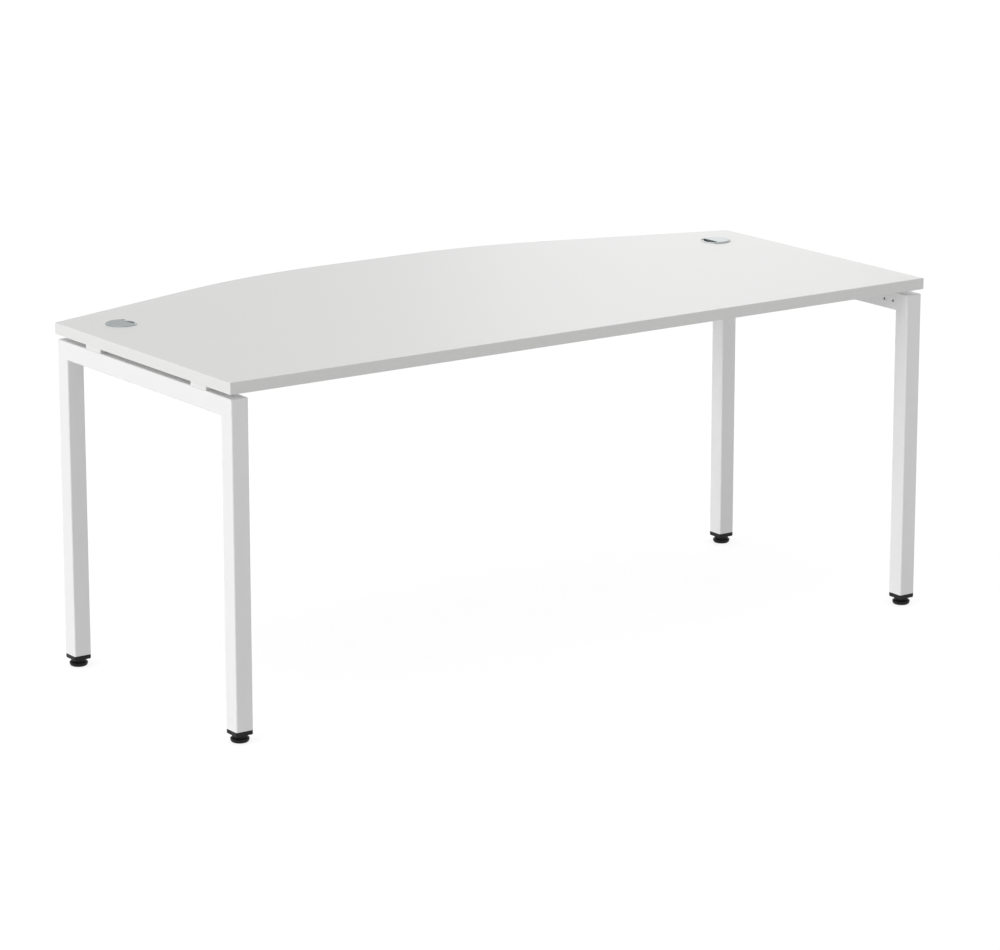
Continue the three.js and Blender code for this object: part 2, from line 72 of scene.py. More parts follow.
band_low, band_high = node_box("edge_band_front")
HALF_WIDTH = band_high.x
FRONT = band_low.y
APEX = node_box("edge_band_rear")[1].y
SIDE_DEPTH = 700
SIDE_REAR = FRONT + SIDE_DEPTH
TOP = band_high.z
UNDERSIDE = band_low.z
BAND = 2
SIDES = {"left": -1, "right": 1}
ENDS = ("front", "rear")
PLACES = [(side, end) for side in SIDES for end in ENDS]
print("half width", round(HALF_WIDTH, 2), "front", round(FRONT, 2), "apex", round(APEX, 2),
      "side rear", round(SIDE_REAR, 2), "top", round(UNDERSIDE, 2), round(TOP, 2))

# %% [markdown]
# ## Working in edit mode by script
# An operator acts on whatever is selected, so hold() clears the selection and takes up just the piece in
# hand. Inside edit mode, faces and edges are picked by a test on their place or direction, which does by
# script what a click does by hand.

# %% Selecting objects, faces and edges
MERGE = 0.002
SNAP = 0.001
NEAR = 0.1


def hold(piece):
    """Make one piece the only selected and active object."""
    bpy.ops.object.select_all(action="DESELECT")
    piece.select_set(True)
    bpy.context.view_layer.objects.active = piece
    return piece


def enter(piece):
    """Go to edit mode with one piece."""
    hold(piece)
    bpy.ops.object.mode_set(mode="EDIT")


def pick_all():
    bpy.ops.mesh.select_all(action="SELECT")


def merge_points():
    """In edit mode, select everything and make one point of those that lie together."""
    pick_all()
    bpy.ops.mesh.remove_doubles(threshold=MERGE * MM)


def leave():
    """Leave edit mode with double points merged and every face turned outwards."""
    merge_points()
    bpy.ops.mesh.normals_make_consistent(inside=False)
    bpy.ops.object.mode_set(mode="OBJECT")
    bpy.ops.object.transform_apply()
    return bpy.context.object


def pick(kind, test):
    """In edit mode, select only the vertices, edges or faces that pass a test."""
    bpy.ops.mesh.select_mode(type=kind)
    bpy.ops.mesh.select_all(action="DESELECT")
    data = bpy.context.edit_object.data
    mesh = bmesh.from_edit_mesh(data)
    choices = {"VERT": mesh.verts, "EDGE": mesh.edges, "FACE": mesh.faces}[kind]
    chosen = [choice for choice in choices if test(choice)]
    for choice in chosen:
        choice.select_set(True)
    bmesh.update_edit_mesh(data)
    return len(chosen)


def middle(edge):
    return (edge.verts[0].co + edge.verts[1].co) / 2 / MM


def runs_along(edge, axis):
    """True for an edge that is parallel to the X, Y or Z axis."""
    step = edge.verts[1].co - edge.verts[0].co
    return abs(step["XYZ".index(axis)]) > 0.999 * step.length


def is_sharp(edge):
    """True where two faces meet at more than 30 degrees."""
    return len(edge.link_faces) == 2 and edge.calc_face_angle() > math.radians(30)


def extrude(x=0, y=0, z=0):
    """Extrude the selection by a step in millimetres."""
    bpy.ops.mesh.extrude_region_move(TRANSFORM_OT_translate={"value": (x * MM, y * MM, z * MM)})


def round_edges(test, radius, segments=5):
    """In edit mode, bevel the edges that pass a test, and count them."""
    count = pick("EDGE", test)
    bpy.ops.mesh.bevel(offset=radius * MM, segments=segments, affect="EDGES")
    return count


print("merge within", MERGE, "mm, cut through points within", SNAP, "mm, pick edges within", NEAR, "mm")


# %% [markdown]
# ## Starting shapes
# Each piece starts from a primitive: a cube for what is sawn from bar or tube, a cylinder for what is
# drilled, and a single point, drawn out into a profile and spun, for what is turned on a lathe. They are
# starts only, and each is worked on further below. Adding one deselects everything else, and
# transform_apply, with its default settings, makes its place, turn and scale part of the mesh.

# %% Blocks, rods and turned profiles
OVERRUN = 5


def block(name, low, high):
    """A cube primitive stretched between two corners given in millimetres."""
    low, high = Vector(low), Vector(high)
    bpy.ops.mesh.primitive_cube_add(size=1, location=(low + high) / 2 * MM, scale=(high - low) * MM)
    bpy.context.object.name = name
    bpy.ops.object.transform_apply()
    return bpy.context.object


def rod(name, radius, start, end, sides=48):
    """A cylinder primitive from one point to another, given in millimetres."""
    start, end = Vector(start), Vector(end)
    span = end - start
    turn = span.to_track_quat("Z", "Y").to_euler()
    bpy.ops.mesh.primitive_cylinder_add(vertices=sides, radius=radius * MM, depth=span.length * MM,
                                        location=(start + end) / 2 * MM, rotation=turn)
    bpy.context.object.name = name
    bpy.ops.object.transform_apply()
    return bpy.context.object


def drill(radius, spot, low, high, sides=48):
    """An upright rod over a spot, to cut a hole; one end or both overrun the piece by 5 mm."""
    return rod("drill", radius, (spot[0], spot[1], low), (spot[0], spot[1], high), sides)


def soft_block(name, low, high, axis, corner, softening):
    """A block with round corners about one axis, and with the edges of its ends softened."""
    piece = block(name, low, high)
    enter(piece)
    round_edges(lambda edge: runs_along(edge, axis), corner)
    round_edges(lambda edge: not runs_along(edge, axis) and is_sharp(edge), softening, segments=3)
    return leave()


def draw_chain(name, points):
    """A line of edges through the points, each extruded from the last; edit mode is left on."""
    bpy.ops.mesh.primitive_plane_add(size=MM, location=Vector(points[0]) * MM)
    piece = bpy.context.object
    piece.name = name
    bpy.ops.object.mode_set(mode="EDIT")
    bpy.ops.mesh.select_mode(type="VERT")
    bpy.ops.mesh.merge(type="CENTER")
    for here, there in zip(points, points[1:]):
        extrude(*(Vector(there) - Vector(here)))
    return piece


def quarter_curve(centre, reach, steps, slope=1):
    """A quarter ellipse of (radius, height) points about a centre, from its widest point to its pole."""
    angles = [math.pi / 2 * step / steps for step in range(steps + 1)]
    return [(centre[0] + reach[0] * abs(math.cos(a)) ** slope, centre[1] + reach[1] * math.sin(a) ** slope)
            for a in angles]


def turned(name, profile, steps=96):
    """A profile of (radius, height) pairs in millimetres, spun once round the Z axis."""
    draw_chain(name, [(radius, 0, height) for radius, height in profile])
    pick_all()
    bpy.ops.mesh.spin(steps=steps, angle=math.tau, center=(0, 0, 0), axis=(0, 0, 1))
    return leave()


# %% [markdown]
# ## Modifiers, cuts and copies
# Hollow tube walls come from Solidify and holes from Boolean, both applied, so that the mesh itself is
# the result. What repeats on the desk is modelled once, copied with a mesh of its own, and moved.

# %% Apply a modifier, cut holes, join and copy
def modify(piece, kind, **settings):
    hold(piece)
    bpy.ops.object.modifier_add(type=kind)
    modifier = piece.modifiers[-1]
    for option, value in settings.items():
        setattr(modifier, option, value)
    bpy.ops.object.modifier_apply(modifier=modifier.name)
    return piece


def hollow(piece, wall):
    """Give an open skin its wall, inwards."""
    return modify(piece, "SOLIDIFY", thickness=wall * MM, offset=-1, use_even_offset=True)


def cut(piece, *cutters):
    """Cut each cutter out of the piece, and throw the cutter away."""
    for cutter in cutters:
        modify(piece, "BOOLEAN", operation="DIFFERENCE", solver="EXACT", object=cutter)
        bpy.data.objects.remove(cutter)
    return piece


def join(piece, *others):
    hold(piece)
    for other in others:
        other.select_set(True)
    bpy.ops.object.join()
    return piece


def copy_to(piece, name, place=(0, 0, 0), turn=(0, 0, 0)):
    """A copy with its own mesh, turned in degrees and moved in millimetres."""
    hold(piece)
    bpy.ops.object.duplicate(linked=False)
    copy = bpy.context.object
    copy.name = name
    copy.rotation_euler = [math.radians(angle) for angle in turn]
    copy.location = Vector(place) * MM
    bpy.ops.object.transform_apply()
    return copy


# %% [markdown]
# Shading comes last. Edges sharper than a set angle stay crisp and the rest are smoothed; then the
# Weighted Normal modifier lets the broad flat faces win over their narrow rounded edges, so that a flat
# side stays flat to the eye. Each piece then gets its material, is told which body it moves with, and
# hides the imported nodes that it replaces.

# %% Finish a piece and hang it on the frame
pieces = []


def finish(piece, material, replaced, body="desk", angle=38):
    hold(piece)
    bpy.ops.object.shade_smooth_by_angle(angle=math.radians(angle))
    modify(piece, "WEIGHTED_NORMAL", keep_sharp=True, weight=100)
    piece.data.materials.clear()
    piece.data.materials.append(material)
    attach(piece, body)
    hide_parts(*replaced)
    pieces.append(piece)
    return piece


# %% [markdown]
# ## Finishes
# Colours are written as on a paint card, in sRGB hex, and turned to the linear values that Cycles wants.
# One helper adds a shader node and fills its inputs, and links those that are handed a socket or a node.

# %% Colours and nodes
def linear(hex_colour):
    """An sRGB hex colour such as F0F0EF as linear red, green, blue and alpha."""
    shares = [int(hex_colour[i:i + 2], 16) / 255 for i in (0, 2, 4)]
    curve = [c / 12.92 if c <= 0.04045 else ((c + 0.055) / 1.055) ** 2.4 for c in shares]
    return (*curve, 1.0)


def empty_tree(holder):
    """The cleared shader tree of a material or of the world."""
    holder.use_nodes = True
    holder.node_tree.nodes.clear()
    return holder.node_tree


def node(tree, kind, inputs=None, **settings):
    """Add a node with its options; fill each input, or link it to a socket or a node's first output."""
    made = tree.nodes.new(kind)
    for option, value in settings.items():
        setattr(made, option, value)
    for socket, value in (inputs or {}).items():
        if isinstance(value, bpy.types.Node):
            value = value.outputs[0]
        if isinstance(value, bpy.types.NodeSocket):
            tree.links.new(value, made.inputs[socket])
        else:
            made.inputs[socket].default_value = value
    return made


print("mid grey is", [round(share, 3) for share in linear("808080")])

# %% [markdown]
# Every finish on the desk starts the same way. Wide patches of noise tint the colour a little,
# finer grains stand in relief, each laid over the last, and the patches or the first grain make the
# gloss uneven. The noise reads Object coordinates, which are metres here, so its scale is one over its
# size. It stays near the middle of its range, and only that part is stretched to the roughness wanted.
# A second colour can be laid over a finish where a share, worked out by other nodes, is one.

# %% The common finish, and a colour laid over it
PATCH_DETAIL = 2
NOISE_LOW, NOISE_HIGH = 0.3, 0.7
# The Mix node repeats its socket names for every type, so the ones for colour go by number
FIRST_COLOUR, SECOND_COLOUR, MIXED_COLOUR = 6, 7, 2


def new_finish(name, patch, colours, roughness, grains, gloss_from="patches", **constants):
    """Patches of one size, and grains of (size, detail, depth); sizes and depths are in millimetres."""
    material = bpy.data.materials.new(name)
    tree = empty_tree(material)
    place = node(tree, "ShaderNodeTexCoord").outputs["Object"]
    fields = {}
    labels = ["patches", "grain", "dust"]
    for label, (size, detail) in zip(labels, [(patch, PATCH_DETAIL)] + [grain[:2] for grain in grains]):
        scaled = {"Vector": place, "Scale": 1 / (size * MM), "Detail": detail}
        fields[label] = node(tree, "ShaderNodeTexNoise", scaled, name=label)
    tint = node(tree, "ShaderNodeMix", {
        "Factor": fields["patches"], FIRST_COLOUR: linear(colours[0]), SECOND_COLOUR: linear(colours[1]),
    }, data_type="RGBA")
    gloss = node(tree, "ShaderNodeMapRange", {
        "Value": fields[gloss_from], "From Min": NOISE_LOW, "From Max": NOISE_HIGH,
        "To Min": roughness[0], "To Max": roughness[1]})
    relief = {}
    for label, (size, detail, depth) in zip(labels[1:], grains):
        relief = {"Normal": node(tree, "ShaderNodeBump", {
            "Height": fields[label], "Distance": depth * MM, **relief})}
    shader = node(tree, "ShaderNodeBsdfPrincipled", {
        "Base Color": tint.outputs[MIXED_COLOUR], "Roughness": gloss, **relief,
        **{socket.replace("_", " "): value for socket, value in constants.items()}}, name="skin")
    node(tree, "ShaderNodeOutputMaterial", {"Surface": shader})
    print("made", name)
    return material


def lay_over(material, share, hex_colour):
    """Cover a finish with another colour where the share is one."""
    tree = material.node_tree
    skin = tree.nodes["skin"].inputs["Base Color"]
    both = node(tree, "ShaderNodeMix", {"Factor": share, FIRST_COLOUR: skin.links[0].from_socket,
                                        SECOND_COLOUR: linear(hex_colour)}, data_type="RGBA")
    tree.links.new(both.outputs[MIXED_COLOUR], skin)


def mirrored_place(tree):
    """X without its sign, Y and Z of the position, so that both halves of the desk look alike."""
    place = node(tree, "ShaderNodeTexCoord").outputs["Object"]
    parts = node(tree, "ShaderNodeSeparateXYZ", {"Vector": place}).outputs
    across = node(tree, "ShaderNodeMath", {0: parts["X"]}, operation="ABSOLUTE")
    return across, parts["Y"], parts["Z"]


# %% [markdown]
# ### White melamine
# The top is chipboard faced with melamine paper, pressed against a plate with a faint pearl grain. The eye
# gets a matt white with a soft, even sheen at a low angle. The real grain is about half a millimetre wide,
# so it is drawn at 2.5 mm, shallow, to show at all in a picture of the whole desk.

# %% Finish of the melamine-faced board
melamine = new_finish("melamine_faced_chipboard", patch=140, colours=("EFEFEE", "F1F1F0"),
                      roughness=(0.43, 0.44), grains=[(2.5, 4, 0.012)], IOR=1.5)

# %% [markdown]
# ### Edge banding and moulded white plastic
# The banding is ABS, extruded as a tape with a faint ripple along its run and scraped flush, a touch
# glossier than the board. The spacers are moulded, with an even matt surface.

# %% Finishes of the banding and of the spacers
banding = new_finish("abs_edge_banding", patch=60, colours=("E7E7E6", "E9E9E8"),
                     roughness=(0.36, 0.44), grains=[(3, 2, 0.01)], gloss_from="grain", IOR=1.52)
white_moulding = new_finish("moulded_white_abs", patch=25, colours=("EDEDEC", "F1F1F0"),
                            roughness=(0.46, 0.56), grains=[(1.2, 3, 0.02)], IOR=1.52)

# %% [markdown]
# ### Powder coating
# The steel frames are sprayed with white polyester powder and baked. It flows out into a satin skin with
# an orange peel of shallow dimples about 2 mm apart, with a trace of dust under a millimetre across.

# %% Finish of the coated steel
coating = new_finish("powder_coated_steel", patch=90, colours=("F3F3F3", "F5F5F5"),
                     roughness=(0.36, 0.46), grains=[(2.2, 1, 0.02), (0.8, 2, 0.006)],
                     gloss_from="grain", IOR=1.5)

# %% [markdown]
# ### Black glass-filled nylon
# Caps and feet are moulded in a spark-eroded tool, which leaves an even matt grain. Handling polishes the
# proud edges, so where the mesh comes to a point, black gives way to a dark grey.

# %% Finish of the black mouldings
PROUD, WORN = 0.52, 0.62
nylon = new_finish("black_moulded_nylon", patch=12, colours=("0E0E0E", "0E0E0E"),
                   roughness=(0.46, 0.60), grains=[(0.9, 3, 0.03)], IOR=1.53, Specular_IOR_Level=0.22)
tree = nylon.node_tree
edges = node(tree, "ShaderNodeNewGeometry").outputs["Pointiness"]
worn = node(tree, "ShaderNodeMapRange", {"Value": edges, "From Min": PROUD, "From Max": WORN})
lay_over(nylon, worn, "202020")

# %% [markdown]
# ### Fasteners
# Screws, bolts and nuts are zinc plated: a thin bright coat with a cold grey tone and small blotches. The
# inserts in the board are turned brass with a dull skin.

# %% Finishes of the zinc and the brass
zinc = new_finish("zinc_plated_steel", patch=2, colours=("B2B6BA", "C4C7C9"),
                  roughness=(0.28, 0.42), grains=[(0.4, 3, 0.006)], Metallic=1.0)
brass = new_finish("turned_brass", patch=3, colours=("B5A36A", "A08F5A"),
                   roughness=(0.32, 0.45), grains=[(0.5, 2, 0.008)], Metallic=1.0)

# %% [markdown]
# ### The grommets' metals
# The cover and its shutter are die cast and plated in satin nickel, then brushed in circles, so they
# mirror the room as a soft cool grey. Where a face leans away from the flat top, such as the rim, a paler
# colour is painted on: a painted reflection that makes the rim look brighter. The ring they sit in is
# plated over a blasted surface, so it is paler and takes the light more evenly. The brushed rings follow
# the distance to the grommet's middle, with the sign of X dropped, so that one pattern serves both grommets.

# %% Finishes of the grommets
GROMMET_FROM_SIDE = 107
GROMMET_FROM_REAR = 93
grommet_x = HALF_WIDTH - GROMMET_FROM_SIDE
grommet_y = SIDE_REAR - GROMMET_FROM_REAR

BRUSH_PITCH = 0.7
satin = new_finish("satin_nickel_die_casting", patch=9, colours=("909697", "969B9C"),
                   roughness=(0.34, 0.43), grains=[(BRUSH_PITCH, 3, 0.01)], gloss_from="grain", Metallic=1.0)
tree = satin.node_tree
across, along = mirrored_place(tree)[:2]
arm = node(tree, "ShaderNodeCombineXYZ", {"X": across, "Y": along})
centre = (grommet_x * MM, grommet_y * MM, 0)
reach = node(tree, "ShaderNodeVectorMath", {0: arm, 1: centre}, operation="DISTANCE").outputs["Value"]
rings = tree.nodes["grain"]
tree.links.remove(rings.inputs["Vector"].links[0])
rings.noise_dimensions = "1D"
tree.links.new(reach, rings.inputs["W"])

# %% Painted reflection on the cover's rim, and the ring's plating
LEANING, FLAT = 0.92, 0.99
facing = node(tree, "ShaderNodeNewGeometry").outputs["Normal"]
upright = node(tree, "ShaderNodeSeparateXYZ", {"Vector": facing}).outputs["Z"]
rim_painted_reflection = node(tree, "ShaderNodeMapRange", {"Value": upright, "From Min": LEANING, "From Max": FLAT,
                                            "To Min": 1.0, "To Max": 0.0})
# The paler colour where faces lean away from flat is a painted reflection on the rim
lay_over(satin, rim_painted_reflection, "A8ADAE")
plated = new_finish("nickel_plated_steel", patch=7, colours=("CFD3D4", "D5D9DA"),
                    roughness=(0.44, 0.52), grains=[(7, 2, 0.01)], Metallic=1.0)

# %% [markdown]
# ## The worktop
# The board's outline is straight on the user's side. On the visitor's side a straight slant leaves each
# rear corner and an arc blends it into a short straight stretch in the middle. By hand one would extrude
# a point along the straight sides and spin it round each arc's centre, and the script does just that. The
# arcs' centres and radius follow from the corner where slant and middle stretch would meet.

# %% The bow's geometry
BOW_CORNER_SHARE = 0.3405
BOW_BLEND_SHARE = 0.637
BOW_STEPS = 28
bow_corner = HALF_WIDTH * BOW_CORNER_SHARE
slant = math.atan2(APEX - SIDE_REAR, HALF_WIDTH - bow_corner)
slant_reach = HALF_WIDTH * math.sin(slant) + SIDE_REAR * math.cos(slant)
bow_radius = bow_corner * BOW_BLEND_SHARE / math.tan(slant / 2)
arc_x = bow_corner * (1 - BOW_BLEND_SHARE)
arc_y = APEX - bow_radius


def side_rear_height(inset):
    """Where the slant meets the side edge, both moved in by the inset."""
    return (slant_reach - inset - (HALF_WIDTH - inset) * math.sin(slant)) / math.cos(slant)


print("slant", round(math.degrees(slant), 2), "degrees, bow radius", round(bow_radius, 1))


# %% Draw the outline as a face
def draw_outline(name, inset):
    """The worktop's outline at its underside, moved in by an inset, filled; edit mode is left on."""
    x = HALF_WIDTH - inset
    reach = bow_radius - inset
    front = (x, FRONT + inset, UNDERSIDE)
    rear = (x, side_rear_height(inset), UNDERSIDE)
    slant_end = (arc_x + reach * math.sin(slant), arc_y + reach * math.cos(slant), UNDERSIDE)
    piece = draw_chain(name, [(-x, FRONT + inset, UNDERSIDE), front, rear, slant_end])
    # Spin turns clockwise, so a minus sign takes the point leftwards over the bow
    for centre, stretch in ((arc_x, -2 * arc_x), (-arc_x, 0)):
        bpy.ops.mesh.spin(steps=BOW_STEPS, angle=-slant, axis=(0, 0, 1),
                          center=(centre * MM, arc_y * MM, UNDERSIDE * MM))
        if stretch:
            extrude(x=stretch)
    extrude(x=slant_end[0] - x, y=rear[1] - slant_end[1])
    extrude(y=front[1] - rear[1])
    merge_points()
    bpy.ops.mesh.edge_face_add()
    return piece


# %% [markdown]
# The board is that face raised by its 25 mm, with through holes for the grommets and four blind pockets
# underneath for the threaded inserts. It stops short of the outline by the banding's thickness.

# %% The board with its holes
GLUE_LINE = 0.03
GROMMET_HOLE = 30
INSERT_POCKET = 5.3
INSERT_DEPTH = 13.6

board = draw_outline("worktop_board", BAND + GLUE_LINE)
extrude(z=TOP - UNDERSIDE)
board = leave()

drills = [drill(GROMMET_HOLE, (sign * grommet_x, grommet_y), UNDERSIDE - OVERRUN, TOP + OVERRUN, sides=96)
          for sign in SIDES.values()]
drills += [drill(INSERT_POCKET, node_middle(f"spacer_{side}_{end}"), UNDERSIDE - OVERRUN,
                 UNDERSIDE + INSERT_DEPTH) for side, end in PLACES]
cut(board, *drills)
finish(board, melamine, ["tabletop_board"])
print("board faces:", len(board.data.polygons))

# %% [markdown]
# ## Edge banding
# Four tapes, two millimetres thick, close the board's edge, their outer arrises rounded with a scraper to
# one millimetre. All four are cut from one ring: the outline face is inset by the tape's thickness, its
# middle is deleted, the ring is raised, and its outer long edges are bevelled. Each tape is a copy of the
# ring, parted by planes along the mitres at the corners.

# %% The ring of banding
ARRIS = 1
ring = draw_outline("banding_ring", 0)
bpy.ops.mesh.inset(thickness=BAND * MM, use_even_offset=True)
bpy.ops.mesh.delete(type="FACE")
pick_all()
extrude(z=TOP - UNDERSIDE)
ring = leave()


def on_outline(edge):
    """True for an edge of the ring's outer wall, which faces away from the desk's middle."""
    return any(abs(face.normal.z) < 0.1 and face.normal.dot(face.calc_center_median()) > 0
               for face in edge.link_faces)


enter(ring)
count = round_edges(lambda edge: not runs_along(edge, "Z") and is_sharp(edge) and on_outline(edge),
                    ARRIS, segments=4)
leave()
print("arrises bevelled:", count)


# %% Part the ring with planes
def part_ring(name, planes):
    """A copy of the ring without what lies beyond each plane (a point and its outward direction)."""
    tape = copy_to(ring, name)
    enter(tape)
    for point, outward in planes:
        pick_all()
        bpy.ops.mesh.bisect(plane_co=point * MM, plane_no=outward, use_fill=True, clear_outer=True,
                            threshold=SNAP * MM)
    return leave()


# %% The four tapes
MITRE_GAP = 0.03
gap = Vector((MITRE_GAP / 2, 0, 0))
origin = Vector((0, 0, 0))

# At a front corner the mitre runs at 45 degrees; at a rear corner it joins the outer and inner corners.
# The direction across each mitre points towards the front or rear tape.
tapes = {"front": [], "rear": [], "left": [], "right": []}
for side, sign in SIDES.items():
    rear_across = Vector((sign * (side_rear_height(BAND) - SIDE_REAR), BAND, 0)).normalized()
    for end, y, across in (("front", FRONT, Vector((-sign, -1, 0))), ("rear", SIDE_REAR, rear_across)):
        point = Vector((sign * HALF_WIDTH, y, 0))
        tapes[end].append((point - sign * gap, -across))
        tapes[side].append((point + sign * gap, across))
far_sides = {"front": (0, 1, 0), "rear": (0, -1, 0), "left": (1, 0, 0), "right": (-1, 0, 0)}
for edge_name, far_side in far_sides.items():
    tape = part_ring(f"banding_{edge_name}", tapes[edge_name] + [(origin, far_side)])
    finish(tape, banding, [f"edge_band_{edge_name}"])
    print(tape.name, "size", [round(length / MM, 1) for length in tape.dimensions])
bpy.data.objects.remove(ring)

# %% [markdown]
# ## Side frames
# A frame is three lengths of 40 mm square tube, mitred, welded and ground flush, so under its coating it
# is one unbroken skin. It is grown as one box: a cube at the front corner, extruded back along the
# crossbar, and then both corner blocks extruded down into legs. The faces at the legs' ends are deleted,
# bevels round the long edges, and Solidify gives the wall its thickness. A smaller bevel in each inner
# corner stands for the fillet of weld.

# %% Grow the skin of a frame
TUBE = 40
WALL = 2
TUBE_RADIUS = 3
WELD_RADIUS = 1.6
leg_low, leg_high = node_box("left_leg_front")
TUBE_BOTTOM = leg_low.z
FRAME_TOP = node_box("left_crossbar")[1].z
FRAME_FRONT = leg_low.y
FRAME_REAR = node_box("left_leg_rear")[1].y
LEG_X = (leg_low.x + leg_high.x) / -2
LEG_Y = {"front": FRAME_FRONT + TUBE / 2, "rear": FRAME_REAR - TUBE / 2}
CROSSBAR_Z = FRAME_TOP - TUBE / 2
print("leg axes at x", round(LEG_X, 2), "y", {end: round(y, 2) for end, y in LEG_Y.items()})

# %% [markdown]
# ### Where the powder stops
# Powder is sprayed on from outside. It coats the rim of a hole but not the inside of the tube, which stays
# bare galvanised steel. Its darker grey is partly that real steel and partly painted shade, so that a hole
# in the frame looks as dark as a shaded recess. Once the sign of X is dropped, the inside of both crossbars
# is one box, and three comparisons of the position pick it out.

# %% Bare steel inside the crossbars, with painted shade in the holes
SPRAY_REACH = 0.8
tree = coating.node_tree
middles = (LEG_X, (FRAME_FRONT + FRAME_REAR) / 2, CROSSBAR_Z)
halves = (TUBE / 2, (FRAME_REAR - FRAME_FRONT) / 2, TUBE / 2)
inside = 1.0
for value, centre, half in zip(mirrored_place(tree), middles, halves):
    within = node(tree, "ShaderNodeMath", {0: value, 1: centre * MM, 2: (half - SPRAY_REACH) * MM},
                  operation="COMPARE")
    inside = node(tree, "ShaderNodeMath", {0: inside, 1: within}, operation="MULTIPLY")
# The darker grey inside is bare steel and also painted shade, so that the holes read dark
lay_over(coating, inside, "C3C5C6")
print("bare inside", round(TUBE - 2 * SPRAY_REACH, 1), "mm square")


# %% The skin of one frame
def frame_skin(name, sign):
    x = sign * LEG_X
    piece = block(name, (x - TUBE / 2, FRAME_FRONT, FRAME_TOP - TUBE),
                  (x + TUBE / 2, FRAME_FRONT + TUBE, FRAME_TOP))
    enter(piece)
    pick("FACE", lambda face: face.normal.y > 0.9)
    extrude(y=FRAME_REAR - FRAME_FRONT - 2 * TUBE)
    extrude(y=TUBE)
    ends = (FRAME_FRONT + TUBE, FRAME_REAR - TUBE)
    pick("FACE", lambda face: face.normal.z < -0.9
         and not ends[0] < face.calc_center_median().y / MM < ends[1])
    extrude(z=TUBE_BOTTOM - FRAME_TOP + TUBE)
    pick("FACE", lambda face: face.normal.z < -0.9 and face.calc_center_median().z / MM < TUBE_BOTTOM + 1)
    bpy.ops.mesh.delete(type="ONLY_FACE")

    def is_weld(edge):
        """True along the two inner corners, where crossbar and legs are welded."""
        aside = min(abs(middle(edge).y - y) for y in ends)
        return runs_along(edge, "X") and aside < NEAR and abs(middle(edge).z - FRAME_TOP + TUBE) < NEAR

    round_edges(lambda edge: is_sharp(edge) and not is_weld(edge), TUBE_RADIUS)
    round_edges(is_weld, WELD_RADIUS, segments=3)
    leave()
    return hollow(piece, WALL)


# %% [markdown]
# The crossbar is drilled before it is coated. Its inner wall has threaded holes: a pair near each end for
# accessories, and a pair behind each beam plate. A threaded collar stands inside the wall at each of
# them. Below each spacer a small hole in the top wall passes the screw, and a wide one in the bottom wall
# lets its head and the driver in.

# %% Threaded collars
TAPPED_RADIUS = 3.3
THREAD_PITCH = 1.0
THREAD_DEPTH = 0.45
COLLAR_RADIUS = 4.8
COLLAR_TURNS = 5
COLLAR_SINK = 0.01

# The threaded wall goes from root to crest to root and so on, as (radius, height)
threaded_wall = []
for turn in range(COLLAR_TURNS):
    threaded_wall += [(TAPPED_RADIUS, turn * THREAD_PITCH),
                      (TAPPED_RADIUS - THREAD_DEPTH, (turn + 0.5) * THREAD_PITCH)]
collar_length = COLLAR_TURNS * THREAD_PITCH
collar = turned("threaded_collar", threaded_wall + [
    (TAPPED_RADIUS, collar_length), (COLLAR_RADIUS, collar_length), (COLLAR_RADIUS, 0), threaded_wall[0],
], steps=40)
print("collar faces:", len(collar.data.polygons))

# %% Drill a frame and fit its collars
ACCESSORY_HOLES = (52, 81)
BOLT_REACH = 22
ACCESS_RADIUS = 7
SCREW_HOLE = 3.3
plate_y, spacer_y = ([node_middle(f"{kind}_{end}").y for end in ENDS] for kind in ("beam", "spacer_left"))
tapped_y = [FRONT + place for place in ACCESSORY_HOLES]
tapped_y += [SIDE_REAR - place for place in ACCESSORY_HOLES]
tapped_y += [y + shift for y in plate_y for shift in (-BOLT_REACH, BOLT_REACH)]


def side_frame(side):
    sign = SIDES[side]
    x = sign * LEG_X
    inner = x - sign * TUBE / 2
    piece = frame_skin(f"side_frame_{side}", sign)
    drills = [rod("drill", TAPPED_RADIUS, (x, y, CROSSBAR_Z), (inner - sign * OVERRUN, y, CROSSBAR_Z))
              for y in tapped_y]
    for y in spacer_y:
        drills.append(drill(SCREW_HOLE, (x, y), CROSSBAR_Z, FRAME_TOP + OVERRUN))
        drills.append(drill(ACCESS_RADIUS, (x, y), FRAME_TOP - TUBE - OVERRUN, CROSSBAR_Z))
    cut(piece, *drills)
    wall = inner + sign * (WALL - COLLAR_SINK)
    collars = [copy_to(collar, "collar", (wall, y, CROSSBAR_Z), (0, sign * 90, 0)) for y in tapped_y]
    join(piece, *collars)
    replaced = [f"{side}_leg_front", f"{side}_leg_rear", f"{side}_crossbar"]
    return finish(piece, coating, replaced)


for side in SIDES:
    made = side_frame(side)
    print(made.name, "faces:", len(made.data.polygons))
bpy.data.objects.remove(collar)

# %% [markdown]
# ## Spacers
# Between crossbar and top sit four moulded blocks, ten millimetres high, which make the top seem to
# float. Each is a block with round corners, softened along every edge and bored for its screw.

# %% The four spacers
SPACER_CORNER = 3
SPACER_SOFTENING = 0.5
for side, end in PLACES:
    low, high = node_box(f"spacer_{side}_{end}")
    low.z, high.z = FRAME_TOP, UNDERSIDE
    spacer = soft_block(f"top_spacer_{side}_{end}", low, high, "Z", SPACER_CORNER, SPACER_SOFTENING)
    cut(spacer, drill(SCREW_HOLE, (low + high) / 2, low.z - OVERRUN, high.z + OVERRUN))
    finish(spacer, white_moulding, [f"spacer_{side}_{end}"])
print("spacers are", [round(length, 1) for length in high - low], "mm")

# %% [markdown]
# ## Screws and bolts
# All are M6 with a button head and a hexagon socket. A thread is a helix, so its profile, one V deep and
# one pitch long, is carried round and up by the Screw modifier. Bisect then trims both ends flat and
# closes them. The head is turned, its socket is cut by a six-sided rod, and the two are joined.

# %% A threaded rod, and an M6 screw of any length
SPARE_TURNS = 2


